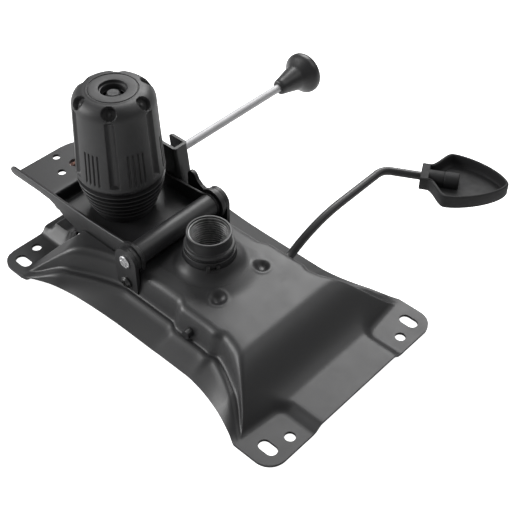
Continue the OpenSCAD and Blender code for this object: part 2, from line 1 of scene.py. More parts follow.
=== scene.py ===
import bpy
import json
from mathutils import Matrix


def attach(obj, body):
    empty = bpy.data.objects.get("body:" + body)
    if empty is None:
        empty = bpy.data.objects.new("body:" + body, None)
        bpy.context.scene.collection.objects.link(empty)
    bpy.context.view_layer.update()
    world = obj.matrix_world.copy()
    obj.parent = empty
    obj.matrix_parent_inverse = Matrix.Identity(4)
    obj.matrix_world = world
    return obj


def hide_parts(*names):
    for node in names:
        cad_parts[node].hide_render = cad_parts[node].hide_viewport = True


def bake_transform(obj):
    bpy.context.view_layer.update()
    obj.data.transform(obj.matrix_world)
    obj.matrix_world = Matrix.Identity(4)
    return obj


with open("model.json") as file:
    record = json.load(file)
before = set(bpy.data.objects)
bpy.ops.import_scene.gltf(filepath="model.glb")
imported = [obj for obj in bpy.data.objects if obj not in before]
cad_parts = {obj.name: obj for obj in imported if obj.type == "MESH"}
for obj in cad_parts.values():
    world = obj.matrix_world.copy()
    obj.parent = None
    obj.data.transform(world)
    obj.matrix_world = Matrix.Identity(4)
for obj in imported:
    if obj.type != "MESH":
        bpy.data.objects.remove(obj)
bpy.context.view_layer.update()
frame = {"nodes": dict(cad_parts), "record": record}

import json
from math import atan2, cos, hypot, pi, radians, sin, sqrt

import bpy
from bpy.props import FloatProperty, FloatVectorProperty, PointerProperty
from mathutils import Matrix, Vector

bl_info = {
    "name": "Chair tilt mechanism",
    "version": (1, 0, 0),
    "blender": (4, 5, 0),
    "location": "View3D > Sidebar > Tilt mechanism",
    "description": "Dresses the packed chair tilt mechanism with fine pieces and finishes",
    "category": "Object",
}

# Shapes are worked out in millimetres and scaled to metres when a piece is done
MM = 0.001


# Settings

def length(name, description, default):
    return FloatProperty(name=name, description=description, default=default)


def colour(name, description, default):
    return FloatVectorProperty(name=name, description=description, default=default,
                               subtype="COLOR", size=3, min=0, max=1)


class TiltFinishes(bpy.types.PropertyGroup):
    steel: colour("Powder coat", "Colour of the coated steel", (0.016, 0.016, 0.017))
    plastic: colour("Black plastic", "Colour of the moulded pieces", (0.02, 0.02, 0.021))
    zinc: colour("Zinc", "Colour of the plated rod and rivets", (0.58, 0.58, 0.59))
    copper: colour("Weld nut", "Colour of the copper coated weld nut", (0.85, 0.64, 0.58))
    floor: colour("Floor", "Colour of the floor", (0.93, 0.93, 0.93))


class TiltSizes(bpy.types.PropertyGroup):
    knob_radius: length("Knob radius", "Radius of the tension knob at its lower rim, in mm", 34.5)
    rod_radius: length("Rod radius", "Radius of both lever rods, in mm", 3.5)


def finishes():
    return bpy.context.scene.tilt_finishes


def sizes():
    return bpy.context.scene.tilt_sizes


# Tools for pieces

def select(obj):
    bpy.ops.object.select_all(action="DESELECT")
    obj.select_set(True)
    bpy.context.view_layer.objects.active = obj
    return obj


def edit(obj, *steps):
    """Run the steps in edit mode on the whole mesh, then merge doubles and face outward."""
    select(obj)
    bpy.ops.object.mode_set(mode="EDIT")
    bpy.ops.mesh.select_all(action="SELECT")
    for step in steps:
        step()
    bpy.ops.mesh.select_all(action="SELECT")
    bpy.ops.mesh.remove_doubles(threshold=0.004)
    bpy.ops.mesh.normals_make_consistent(inside=False)
    bpy.ops.object.mode_set(mode="OBJECT")
    return obj


def drawn(name, points, closed=False, face=False):
    """Object that holds an outline of [x, y, z] points, as edges or as one face."""
    mesh = bpy.data.meshes.new(name)
    n = len(points)
    edges = [] if face else [(k, (k + 1) % n) for k in range(n if closed else n - 1)]
    mesh.from_pydata(points, edges, [list(range(n))] if face else [])
    obj = bpy.data.objects.new(name, mesh)
    bpy.context.scene.collection.objects.link(obj)
    return obj


def spun(name, profile, steps=128, closed=False):
    """Turned piece about Z from a profile of [radius, z] points."""
    obj = drawn(name, [(r, 0, z) for r, z in profile], closed)
    return edit(obj, lambda: bpy.ops.mesh.spin(steps=steps, angle=2 * pi, center=(0, 0, 0),
                                               axis=(0, 0, 1)))


def prism(name, outline, lo, hi, axis="Z"):
    """Outline of two coordinates pushed from lo to hi along an axis."""
    place = {"X": lambda p, q: (lo, p, q),
             "Y": lambda p, q: (p, lo, q),
             "Z": lambda p, q: (p, q, lo)}
    push = {"X": (hi - lo, 0, 0), "Y": (0, hi - lo, 0), "Z": (0, 0, hi - lo)}
    obj = drawn(name, [place[axis](p, q) for p, q in outline], face=True)
    return edit(obj, lambda: bpy.ops.mesh.extrude_region_move(
        TRANSFORM_OT_translate={"value": push[axis]}))


def bored(name, x, z, r, lo, hi, n=48):
    """Round cutter along Y."""
    return moved(prism(name, circle(x, -z, r, n), lo, hi), Matrix.Rotation(radians(-90), 4, "X"))


def circle(x, y, r, n=48):
    return [(x + r * cos(2 * pi * k / n), y + r * sin(2 * pi * k / n)) for k in range(n)]


def slot_outline(x, y, long, wide, n=16):
    """Rounded slot that lies along X."""
    reach = (long - wide) / 2
    return [(x + s * reach + wide / 2 * cos(radians(a0 + 180 * k / n)),
             y + wide / 2 * sin(radians(a0 + 180 * k / n)))
            for s, a0 in ((1, -90), (-1, 90)) for k in range(n + 1)]


def use(obj, kind, **values):
    """Add a modifier and apply it."""
    m = obj.modifiers.new(kind, kind)
    for key, value in values.items():
        setattr(m, key, value)
    select(obj)
    bpy.ops.object.modifier_apply(modifier=m.name)
    return obj


def bevelled(obj, width, segments=3, angle=35):
    return use(obj, "BEVEL", width=width, segments=segments, limit_method="ANGLE",
               angle_limit=radians(angle), use_clamp_overlap=False)


def joined(first, *others):
    select(first)
    for other in others:
        other.select_set(True)
    bpy.ops.object.join()
    return first


def cut(obj, *cutters):
    cutter = joined(*cutters) if len(cutters) > 1 else cutters[0]
    use(obj, "BOOLEAN", object=cutter, operation="DIFFERENCE", solver="EXACT")
    bpy.data.objects.remove(cutter)
    return obj


def moved(obj, matrix):
    obj.data.transform(matrix)
    return obj


def done(obj, name, slot, body, *nodes, smooth=35, look=None):
    """Bring a piece to metres, give it its finish and hang it on its body."""
    obj.data.transform(Matrix.Scale(MM, 4))
    obj.name = obj.data.name = name
    obj.data.materials.clear()
    obj.data.materials.append(material(look or slot))
    select(obj)
    bpy.ops.object.shade_smooth_by_angle(angle=radians(smooth))
    if nodes:
        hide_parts(*nodes)
    if body:
        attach(obj, body)
    return obj


def rounded(points, radii, steps):
    """Walk along the points with each inner corner replaced by a curve that keeps its tangents."""
    path = [points[0]]
    for before, here, after, r in zip(points, points[1:], points[2:], radii):
        p = here + (before - here).normalized() * min(r, (before - here).length * 0.49)
        q = here + (after - here).normalized() * min(r, (after - here).length * 0.49)
        for k in range(steps + 1):
            t = k / steps
            path.append(p * (1 - t) ** 2 + here * 2 * t * (1 - t) + q * t ** 2)
    return path + [points[-1]]


def soft(points, radius, steps=4):
    """The same for a list of pairs, with one radius for every corner."""
    return [tuple(p) for p in rounded([Vector(p) for p in points], [radius] * len(points), steps)]


# Materials

def node(tree, kind, x, y, **values):
    n = tree.nodes.new(kind)
    n.location = (x, y)
    for key, value in values.items():
        setattr(n, key, value)
    return n


def noise(tree, coords, scale, detail=4, rough=0.55, x=-700, y=0):
    n = node(tree, "ShaderNodeTexNoise", x, y)
    n.inputs["Scale"].default_value = scale
    n.inputs["Detail"].default_value = detail
    n.inputs["Roughness"].default_value = rough
    tree.links.new(coords, n.inputs["Vector"])
    return n.outputs["Fac"]


def mapped(tree, value, low, high, out_low, out_high, x=-450, y=0):
    n = node(tree, "ShaderNodeMapRange", x, y)
    n.inputs["From Min"].default_value = low
    n.inputs["From Max"].default_value = high
    n.inputs["To Min"].default_value = out_low
    n.inputs["To Max"].default_value = out_high
    tree.links.new(value, n.inputs["Value"])
    return n.outputs["Result"]


def finish(name, base, rough, metallic=0.0, shade=0.85, patch=45, grain=1400, depth=0.02,
           specular=0.5, stretch=(1, 1, 1)):
    """A finish with cloudy colour and roughness and a fine grain; stretch draws the grain out."""
    made = bpy.data.materials.get("tilt_" + name)
    if made:
        return made
    m = bpy.data.materials.new("tilt_" + name)
    m.use_nodes = True
    t = m.node_tree
    shader = t.nodes["Principled BSDF"]
    shader.inputs["Metallic"].default_value = metallic
    shader.inputs["Specular IOR Level"].default_value = specular
    coords = node(t, "ShaderNodeTexCoord", -1300, 0).outputs["Object"]
    scaled = node(t, "ShaderNodeMapping", -1050, -200)
    scaled.inputs["Scale"].default_value = stretch
    t.links.new(coords, scaled.inputs["Vector"])
    cloud = noise(t, coords, patch, 5, 0.6, y=200)
    mix = node(t, "ShaderNodeMix", -200, 250, data_type="RGBA")
    mix.inputs["A"].default_value = (*[c * shade for c in base], 1)
    mix.inputs["B"].default_value = (*base, 1)
    t.links.new(mapped(t, cloud, 0.35, 0.65, 0, 1, y=250), mix.inputs["Factor"])
    t.links.new(mix.outputs["Result"], shader.inputs["Base Color"])
    streak = noise(t, scaled.outputs["Vector"], patch * 2.3, 6, 0.65, y=-50)
    t.links.new(mapped(t, streak, 0.3, 0.7, *rough, y=-50), shader.inputs["Roughness"])
    fine = noise(t, scaled.outputs["Vector"], grain, 3, 0.6, y=-300)
    bump = node(t, "ShaderNodeBump", -200, -300)
    bump.inputs["Strength"].default_value = 0.35
    bump.inputs["Distance"].default_value = depth * MM
    t.links.new(fine, bump.inputs["Height"])
    t.links.new(bump.outputs["Normal"], shader.inputs["Normal"])
    return m


def material(look):
    """Make the finish of that name: its colour, its range of roughness and what else differs."""
    c = finishes()
    steel, plastic, zinc, copper = (Vector(v) for v in (c.steel, c.plastic, c.zinc, c.copper))
    coated = {"shade": 0.93, "grain": 1500, "depth": 0.04}
    moulded = {"patch": 60, "grain": 2600, "depth": 0.012}
    base, rough, rest = {
        "black_steel": (steel, (0.41, 0.47), {**coated, "patch": 30}),
        "tray_steel": (steel * 0.9, (0.4, 0.47), coated),
        "rod_black": (steel, (0.34, 0.46), {"grain": 1500}),
        "bored_steel": (grey(0.3), (0.3, 0.45), bare(0.6, 300, 2200, 0.03, metallic=0.9)),
        # The plain zinc look is a darkened copy of the pin's zinc. This is painted shade, so that
        # zinc pieces such as the bolt end down in the knob's hole don't shine.
        "zinc": (zinc * 0.13, (0.4, 0.6), bare(0.6, 400, 2200, 0.03)),
        "pin_zinc": (zinc, (0.35, 0.5), bare(0.75, 500, 2200, 0.03)),
        "rod_steel": (zinc * 0.8, (0.6, 0.7), bare(0.9, 60, 2500, 0.008, stretch=(1, 0.05, 1))),
        "spring_steel": ((0.3, 0.3, 0.31), (0.3, 0.45), bare(0.8, 90, 1800, 0.015)),
        "dark_zinc": (grey(0.2), (0.3, 0.45), bare(0.8, 150, 1800, 0.01)),
        "black_screw": (grey(0.02), (0.25, 0.38), bare(0.8, 200, 2500, 0.01, metallic=0.0)),
        "copper": (copper, (0.28, 0.42), bare(0.75, 200, 2000, 0.015)),
        "knob_plastic": (plastic, (0.46, 0.54), moulded),
        "bell_plastic": (plastic, (0.32, 0.44), moulded),
        "paddle_plastic": (plastic, (0.6, 0.72), {**moulded, "specular": 0.32}),
        "boot_plastic": (plastic, (0.36, 0.48), moulded),
        "bush_plastic": (plastic, (0.34, 0.46), moulded),
    }[look]
    return finish(look, base, rough, **rest)


def grey(value):
    return (value, value, value)


def bare(shade, patch, grain, depth, metallic=1.0, **rest):
    """What differs for a metal without a coat."""
    return {"metallic": metallic, "shade": shade, "patch": patch, "grain": grain, "depth": depth,
            **rest}


class TILT_OT_finishes(bpy.types.Operator):
    """Give every CAD node its finish"""
    bl_idname = "tilt.finishes"
    bl_label = "Finishes"

    def execute(self, context):
        slots = {s["node"]: s["material_slot"] for s in frame["record"]["subparts"]}
        for name, obj in frame["nodes"].items():
            obj.data.materials.clear()
            obj.data.materials.append(material(slots[name]))
        return {"FINISHED"}


# Shape of the pressed seat plate; u runs to the front, a to the side

SHEET = 2.3
PLATFORM = 32.0
HALF_L, HALF_W, CORNER_R = 145.0, 91.5, 14.0
# Half width within which the round corners don't narrow the plate
STRAIGHT_Y = 50
OPENING_X, OPENING_Y = (-109.5, -50), 41.1
DIMPLE_X, DIMPLE_Y = 31, 23.3
SLOT_X, SLOT_Y, SLOT_LONG, SLOT_WIDE = 130, 78, 15, 9
HOLE_X, HOLE_Y, HOLE_R = 134.9, 61.3, 4
# Axis and radius of the lift lever's passage through the walls
LIFT_X, LIFT_Z, LIFT_HOLE_R = 30, 18.8, 3.6


def st(t):
    """Smooth step from 0 to 1."""
    t = min(1, max(0, t))
    return t * t * (3 - 2 * t)


def smin(p, q, r):
    """Lesser of two heights, rounded where they meet."""
    h = max(r - abs(p - q), 0) / r
    return min(p, q) - h * h * r / 4


def smax(p, q, r):
    return -smin(-p, -q, r)


def ramp(t, w):
    """Slope of one to one that sets in smoothly over 2w."""
    return 0 if t <= -w else t if t >= w else (t + w) ** 2 / (4 * w)


def flare(u, a, b, p):
    """Outward sweep that starts at a and reaches 1 at a + b."""
    return max(0, (u - a) / b) ** p


def pad(u):
    """Bulge of the wall where the lift lever passes through it."""
    return st((u - 10) / 9) * (1 - st((u - 50) / 9))


def crest(u):
    """Half width of the upper edge of the platform."""
    sweep = 36.5 * flare(u, 38, 71, 2.2) + 35 * flare(-u, 42, 72, 1.5)
    return min(HALF_W - 7, OPENING_Y + 3.4 + 3.8 * pad(u) + sweep)


def ledge(u):
    """Half width of the ledge below the wall."""
    sweep = 33 * flare(u, 44, 64, 1.5) + 35 * flare(-u, 36, 76, 1.25)
    return min(HALF_W - 4, max(crest(u) + 2.5, 52 + 4.3 * pad(u) + sweep))


def hem(u):
    """Half width of the free edge of the skirt."""
    sweep = 18.2 * flare(u, 46, 66, 1.7) + 16.2 * flare(-u, 5, 113, 2.6)
    return min(HALF_W - (1.5 if u < 0 else 0), max(ledge(u) + 1.5, 73.7 + sweep))


def low(u):
    """Share of the ledge's height reached at u."""
    return 1 - st((abs(u) - 86) / (32 if u < 0 else 27))


def front_z(u, a):
    """Front slope, its tongue and the pocket with a rounded corner on each side of it."""
    tongue = SHEET + 4.2
    slope = tongue + (PLATFORM - tongue) * (1 - st((u - 75) / 42))
    r = 7
    p, q = r - u + 114.8 - 0.11 * max(0, a - 50), r - a + 46.5
    d = r - hypot(max(p, 0), max(q, 0)) - min(max(p, q), 0)
    return smax(SHEET, smin(slope, SHEET - 1.15 * d, 3), 2.5)


def rear_z(u, a):
    """Rear slope, its steep wall and the raised flange behind the opening."""
    top = PLATFORM - 0.8 * ramp(0.55 * a - 0.83 * u - 105, 6)
    foot = -121.5 + 0.0091 * min(29.6, max(0, 76 - a)) ** 2
    flange = SHEET + 5.7 * (1 - st((a - 43) / 5.5)) \
        + (1 - st((a - 40) / 2.6)) * (5 * st((u + 139.5) / 4) + 6 * st((u + 124) / 12))
    return smax(flange, smin(top, SHEET + 1.73 * (u - foot), 4), 3)


def swell(r):
    """Rise of the plate round the socket."""
    return 4.2 * (1 - st((r - 21) / 21))


def inner_z(u, a):
    """Height of the upper side within the crest, with the swell and the dimples."""
    z = front_z(u, a) if u > 0 else rear_z(u, a)
    away = hypot(u - DIMPLE_X, a - DIMPLE_Y)
    raised = 0.35 * (1 - st(abs(away - 7.2) / 2.2))
    sunk = 2.5 * (1 - st((away - 1.5) / 4.7))
    return z + swell(hypot(u, a)) + raised - sunk


def corner_narrowing(x):
    """Share by which the outer part of a section narrows for the round corners."""
    d = max(0, abs(x) - HALF_L + CORNER_R)
    inner = HALF_W - STRAIGHT_Y - CORNER_R
    return (inner + sqrt(max(0, CORNER_R ** 2 - d * d))) / (inner + CORNER_R)


# Steps in one section: within the crest, in each bend, and down the skirt
INNER, FINE, OUTER = 34, 7, 6


def half_section(x):
    """Points [y, z] of the plate's upper side at x, from the middle to the free edge."""
    edge_y = hem(x)
    top = crest(x) - 0.8
    m = inner_z(x, top)
    zl, zh = min(SHEET + 11.7 * low(x), m), min(SHEET + 3.2 * low(x), m)
    # share of the full wall height, and how far the round front corner has set in
    share = (m - zl) / (PLATFORM - 14)
    broad = st((x - 55) / 35)
    foot = min(crest(x) + 3.2 * share + 1.0, ledge(x) - 0.8)
    roll = Vector((min(ledge(x) + 0.8 + 3.2 * share, edge_y - 0.5), zl - 2.5 * share))
    start = top - (13.3 + 5 * broad) * share - 0.4
    path = [Vector((start * k / INNER, inner_z(x, start * k / INNER))) for k in range(INNER)]
    radii = [v * share + 0.2 for v in (6.3 + 6 * broad, 4.5 + 3 * broad, 2, 2)]
    bend = rounded([Vector((start, inner_z(x, start))), Vector((top, m)), Vector((foot, zl)),
                    Vector((ledge(x), zl)), roll, Vector((edge_y, zh))], radii, FINE)
    edge = bend.pop()
    last = bend[-1]
    return path + bend + [last.lerp(edge, (k + 1) / OUTER) for k in range(OUTER)]


def stations():
    """Places along X, closer together where the plate bends."""
    xs = [-HALF_L]
    while xs[-1] < HALF_L - 0.2:
        near_bend = 100 < abs(xs[-1]) < 126 or abs(xs[-1]) > HALF_L - CORNER_R
        near_dimple = abs(xs[-1] - DIMPLE_X) < 10
        step = 0.9 if near_dimple else 1.1 if near_bend else 1.9
        xs.append(min(HALF_L, xs[-1] + step))
    return xs


# Pieces of the seat plate

def pressed_sheet():
    """A grid drawn over the plate's sections and thickened downwards."""
    xs = stations()
    sections = [half_section(x) for x in xs]
    side = len(sections[0]) - 1
    bpy.ops.mesh.primitive_grid_add(x_subdivisions=len(xs) - 1, y_subdivisions=2 * side, size=2)
    sheet = bpy.context.object
    for v in sheet.data.vertices:
        i = round((v.co.x + 1) / 2 * (len(xs) - 1))
        j = round((v.co.y + 1) * side) - side
        y, z = sections[i][abs(j)]
        if y > STRAIGHT_Y:
            y = STRAIGHT_Y + (y - STRAIGHT_Y) * corner_narrowing(xs[i])
        v.co = (xs[i], y if j > 0 else -y, z)
    use(sheet, "SOLIDIFY", thickness=SHEET, offset=-1, use_even_offset=True)
    for v in sheet.data.vertices:
        v.co.z = max(v.co.z, 0)
    return sheet


class TILT_OT_plate(bpy.types.Operator):
    """Press the seat plate and pierce it, and turn the boss round its socket"""
    bl_idname = "tilt.plate"
    bl_label = "Seat plate"

    def execute(self, context):
        tools = [prism("opening", rounded_box(*OPENING_X, -OPENING_Y, OPENING_Y, 2), 5, 60),
                 prism("socket", circle(0, 0, BORE_R + 2.72, 96), 20, 50),
                 bored("lever", LIFT_X, LIFT_Z, LIFT_HOLE_R, -70, 70, 32)]
        for b in (-1, 1):
            tools.append(bored("room", PIVOT_X, PIVOT_Z, COLLAR_ROOM_R,
                               b * 41.7 - 1.6, b * 41.7 + 1.6, 64))
            for a in (-1, 1):
                slot = slot_outline(a * SLOT_X, b * SLOT_Y, SLOT_LONG, SLOT_WIDE)
                tools.append(prism("slot", slot, -5, 12))
                tools.append(prism("hole", circle(a * HOLE_X, b * HOLE_Y, HOLE_R), -5, 12))
        plate = cut(pressed_sheet(), *tools)
        done(plate, "pressed_plate", "black_steel", "base", "seat_plate", smooth=40)
        steps = 16
        foot = [(r, PLATFORM + 0.1 + swell(r) + 6.4 * (1 - k / steps) ** 2.6)
                for k, r in enumerate(20.2 + 0.6 * k for k in range(steps + 1))]
        seat_r = BORE_R + 2.8
        boss = spun("boss", [(seat_r, 31), (seat_r, 41.5), (19.4, 41.5), (19.9, 41.2), *foot,
                             (29.8, 31)], closed=True)
        done(boss, "socket_collar", "black_steel", "base", "socket_boss")
        return {"FINISHED"}


def rounded_box(x0, x1, y0, y1, r, n=6):
    corners = ((x1 - r, y1 - r, 0), (x0 + r, y1 - r, 90),
               (x0 + r, y0 + r, 180), (x1 - r, y0 + r, 270))
    return [(x + r * cos(radians(a + 90 * k / n)), y + r * sin(radians(a + 90 * k / n)))
            for x, y, a in corners for k in range(n + 1)]


BORE_R, SOCKET_TOP = 14.3, 64.0


class TILT_OT_socket(bpy.types.Operator):
    """Turn the gas lift socket and the lining that carries the fine rings of its bore"""
    bl_idname = "tilt.socket"
    bl_label = "Gas lift socket"

    def execute(self, context):
        top = SOCKET_TOP
        # walls of the lip, the bead, the band below it and the hidden lower end
        walls = [(1.3, top), (2.7, top), (2.7, top - 1.6), (2.45, top - 1.8), (2.45, 54.2),
                 (2.7, 53.9),
                 (4.6, 53.4), (5.0, 51.4), (4.5, 49.4), (3.9, 48.9),
                 (3.9, 48.5), (5.4, 48.4), (5.5, 41.3), (2.6, 41.2),
                 (2.6, 18), (0, 18)]
        outer = soft([(BORE_R + wall, z) for wall, z in walls], 0.6, 5)
        socket = spun("socket", [(BORE_R + 0.7, 18), (BORE_R + 0.7, top - 1.2), *outer[:-1]], 96,
                      closed=True)
        done(socket, "socket_tube", "black_steel", "base", "cylinder_socket")
        rings = [(BORE_R + (0.3 if k % 8 in (1, 2, 3, 4) else -0.12), 33 + 0.28 * k)
                 for k in range(104)]
        lining = spun("lining", [(BORE_R + 0.75, 18.1), (BORE_R, 18.1), *rings,
                                 (BORE_R + 0.2, top - 1.3), (BORE_R + 0.75, top - 1.1)], 96,
                      closed=True)
        done(lining, "socket_bore", "black_steel", "base", look="bored_steel")
        return {"FINISHED"}


# Tension column

COLUMN_X = -94.5
COLUMN = Matrix.Translation((COLUMN_X, 0, 0))
RIM_Z, KNOB_TOP, KNOB_INNER_R = 72.0, 143.0, 28.5
CUP_TOP, CUP_R = 42.3, 22.8


def knob_side(q):
    """Radius of the knob at the share q of its straight side."""
    return sizes().knob_radius * (1 - 0.1 * q ** 0.8)


def knob_profile():
    """Outer side of the knob, from its lower rim over the shoulder to the hole in its top."""
    rim, high = sizes().knob_radius, knob_side(1)
    side = [(knob_side(z / 60), RIM_Z + z) for z in (1.2 + 0.9 * k for k in range(64))]
    shoulder = [(high - 11 * (1 - cos(radians(t))), KNOB_TOP - 11.6 + 11.2 * sin(radians(t)))
                for t in range(0, 89, 4)]
    top = KNOB_TOP
    groove = soft([(19.8, top - 0.14), (19.0, top - 0.05), (18.8, top - 0.7), (18.2, top - 0.7),
                   (18.0, top - 0.05), (16, top)], 0.25, 3)
    hole = soft([(14, top), (10.6, top), (10.3, top - 2.4), (9.2, top - 2.6), (8.9, top - 7),
                 (5.6, top - 7), (5.6, top - 22)], 0.4, 3)
    inside = [(KNOB_INNER_R, top - 22), (KNOB_INNER_R, RIM_Z + 2), (KNOB_INNER_R, RIM_Z)]
    return [(rim - 0.9, RIM_Z), (rim - 0.2, RIM_Z + 0.4), *side, *shoulder, *groove, *hole, *inside]


def flute_depth(turn, z):
    """Long round groove under each dimple."""
    half_width = 3.8
    across = max(0, 1 - (32.5 * turn / half_width) ** 2) ** 0.8
    return 2.7 * across * st((z - RIM_Z - 4.2) / 0.9) * (1 - st((z - 131) / 3))


def grip_depth(turn, z):
    """Four narrow grooves half way between two flutes."""
    half_pitch = radians(3.3)
    off = abs(turn) - radians(30)
    near = 33 * min(abs(off - k * half_pitch) for k in (-3, -1, 1, 3))
    return 1.1 * (1 - st((near - 0.4) / 0.6)) * st((z - RIM_Z - 3.5) / 2) \
        * (1 - st((z - RIM_Z - 30.5) / 2))


def carve_knob(knob):
    """Press six dimples, flutes and groups of grooves into the turned knob."""
    way = Vector((sin(radians(41)), 0, cos(radians(41))))
    middle = Vector((20, 0, 131.5)) + way * 11.1
    first, pitch = radians(-48), radians(60)
    for v in knob.data.vertices:
        r, z = hypot(v.co.x, v.co.y), v.co.z
        inside = abs(r - KNOB_INNER_R) < 0.1 and z < 122
        if r < 20 or z < RIM_Z + 1 or inside:
            continue
        turn = (atan2(v.co.y, v.co.x) - first) % pitch
        turn = min(turn, turn - pitch, key=abs)
        r -= max(flute_depth(turn, z), grip_depth(turn, z))
        p = Vector((r * cos(turn), r * sin(turn), z))
        away = p - middle
        if away.length < 9:
            d = (away - away.dot(way) * way).length
            p -= way * (3.9 * (1 - st((d - 4.4) / 1.4)) - 1.1 * (1 - st((d - 0.8) / 1.6)))
        v.co = Matrix.Rotation(atan2(v.co.y, v.co.x) - turn, 3, "Z") @ p


def boot_profile():
    """Outer side of the ribbed boot, drawn in to the cup, then the inner side back up."""
    top, ribs, steps = RIM_Z - 1, 6, 16
    pitch = (top - 2.2 - 40) / ribs
    radius = sizes().knob_radius

    def taper(z):
        return radius - 0.5 - 10 * max(0, (top - 3 - z) / 33) ** 1.35

    neck = KNOB_INNER_R - 0.3
    outer = [(neck - 1.3, top + 2.6), (neck, top + 2.6), (neck, top + 0.4),
             (radius - 1.2, top + 0.4)]
    for k in range(ribs * steps + 1):
        z = top - 2.2 - k * pitch / steps
        bulge = 1 - st((abs((k / steps) % 1 - 0.5) - 0.1) / 0.14)
        outer.append((max(taper(z) - 3.4 * (1 - bulge), CUP_R + 0.2), z))
    low_edge = [(CUP_R + 0.6, 35.4), (CUP_R + 0.2, 34.9), (CUP_R + 0.1, CUP_TOP + 1.4)]
    inner = [(taper(z) - 4.4, z) for z in (CUP_TOP + 4 + 2.5 * k for k in range(9))]
    return [*outer, *low_edge, *inner, (radius - 4.4, top - 1)]


class TILT_OT_column(bpy.types.Operator):
    """Turn the tension knob and its boot and carve the knob"""
    bl_idname = "tilt.column"
    bl_label = "Tension knob"

    def execute(self, context):
        knob = spun("knob", knob_profile(), 600, closed=True)
        carve_knob(knob)
        done(moved(knob, COLUMN), "knob_shell", "knob_plastic", "knob", "tension_knob", smooth=30)
        boot = spun("boot", boot_profile(), 128, closed=True)
        done(moved(boot, COLUMN), "ribbed_boot", "boot_plastic", None, "spring_boot")
        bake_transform(boot)
        return {"FINISHED"}


# Levers

# Axis of the lock rod, and the outer end and length of its knob
LOCK_X, LOCK_Z = -89.4, 58.5
BELL_END, BELL_L = 215, 39.6


class TILT_OT_pin(bpy.types.Operator):
    """Turn the pivot pin and strike the star into its riveted head"""
    bl_idname = "tilt.pin"
    bl_label = "Pivot pin"

    def execute(self, context):
        end, flat = 49.5, 1.5
        face = [(0.25 * k, flat) for k in range(19)]
        far = -2 * end - flat
        pin = spun("pin", [*face, (4.75, 1.4), (5.2, 1.0), (5.3, 0.4), (5.2, 0.05), (4.9, 0),
                           (4.9, far), (4.4, far - 0.5), (0, far - 0.5)], 96)
        for v in pin.data.vertices:
            r = hypot(v.co.x, v.co.y)
            if v.co.z > flat - 0.2 and 0.6 < r < 4.6:
                ray = abs(sin(3 * atan2(v.co.y, v.co.x) + 0.4))
                v.co.z -= 0.45 * (1 - st((ray - 0.12) / 0.3)) * st((r - 0.6) / 0.8) \
                    * st((4.6 - r) / 0.5)
        place = Matrix.Translation((PIVOT_X, -end, PIVOT_Z)) @ Matrix.Rotation(radians(90), 4, "X")
        done(moved(pin, place), "riveted_pin", "zinc", "base", "pivot_pin", look="pin_zinc")
        return {"FINISHED"}


class TILT_OT_lock_knob(bpy.types.Operator):
    """Turn the bell shaped knob of the lock rod"""
    bl_idname = "tilt.lock_knob"
    bl_label = "Lock knob"

    def execute(self, context):
        rod = sizes().rod_radius
        bell = soft([(rod + 0.05, 0.2), (5.6, 0), (6.7, 1.4), (7.6, 6), (10.6, 18.6), (11.4, 22),
                     (14.2, 25.6), (17.4, 29), (18.3, 32), (17.6, 35.9), (14.2, 38.6),
                     (7, BELL_L - 0.1), (0, BELL_L)], 2.2, 5)
        knob = spun("bell", [*bell, (0, BELL_L / 2), (rod + 0.05, BELL_L / 2)], 96)
        place = Matrix.Translation((LOCK_X, BELL_END - BELL_L, LOCK_Z)) \
            @ Matrix.Rotation(radians(-90), 4, "X")
        done(moved(knob, place), "bell_knob", "bell_plastic", "lock", "lock_knob")
        return {"FINISHED"}


def lever_end():
    """Place of the paddle: along the lift lever's straight runs and bends, as in the solids."""
    def turn(axis, a):
        return Matrix.Rotation(radians(a), 4, axis)

    def go(x, y, z):
        return Matrix.Translation((x, y, z))

    def bend(r, a):
        return go(-r * (1 - cos(radians(a))), 0, r * sin(radians(a))) @ turn("Y", -a)

    return (go(LIFT_X, -55.5, LIFT_Z) @ turn("X", -90) @ go(0, 0, 108)
            @ turn("Z", 90) @ bend(18, 27) @ go(0, 0, 2)
            @ turn("Z", 180) @ bend(125, 25.5) @ go(0, 0, 48) @ turn("Z", -90)
            @ bend(12, 61.5) @ go(0, 0, 24) @ turn("X", -90) @ turn("Z", -90))


PADDLE_L = 70
# Height and the two insets of each ring: at the neck's end and along the side
PADDLE_RINGS = (
    (-6, 1.4, 1.4), (-5.7, 0.4, 0.4), (-4.8, 0, 0), (-1, 0, 0), (4.6, 0, 0), (5.4, 0.2, 0.2),
    (5.9, 0.7, 0.7), (6, 1.3, 1.2), (5.95, 6.3, 1.7), (5.5, 6.8, 2.2), (4.8, 7, 2.4), (0, 7.1, 2.6),
    (-2.2, 7.3, 3), (-3.4, 8, 3.8), (-3.8, 9.2, 5.2))


def paddle_w(s, inset):
    """Half width of the paddle: neck, S curve of the shoulders, round tip."""
    if s < 24:
        return 10.4 - inset + 17.4 * st((s - 6 - inset * 0.8) / 16)
    t = min(1, (s - 24) / (PADDLE_L - 24 - inset))
    return (27.8 - inset) * (1 - t ** 1.55) ** 0.655


def paddle_ring(start, inset, z, n=46):
    """Closed line round the paddle at height z, with its neck end at start."""
    end = PADDLE_L - inset
    side = []
    for k in range(n + 1):
        t = k / n
        s = start + (end - start) * (t if t < 0.5 else 0.5 + 0.5 * sin(pi * (t - 0.5)) ** 0.8)
        side.append((s, paddle_w(s, inset) if k < n else 0))
    w = side[0][1]
    neck = [(start, -w * (1 - k / 4)) for k in range(1, 8)]
    return [Vector((s, v, z)) for s, v in
            [*side, *[(s, -v) for s, v in reversed(side[:-1])], *neck]]


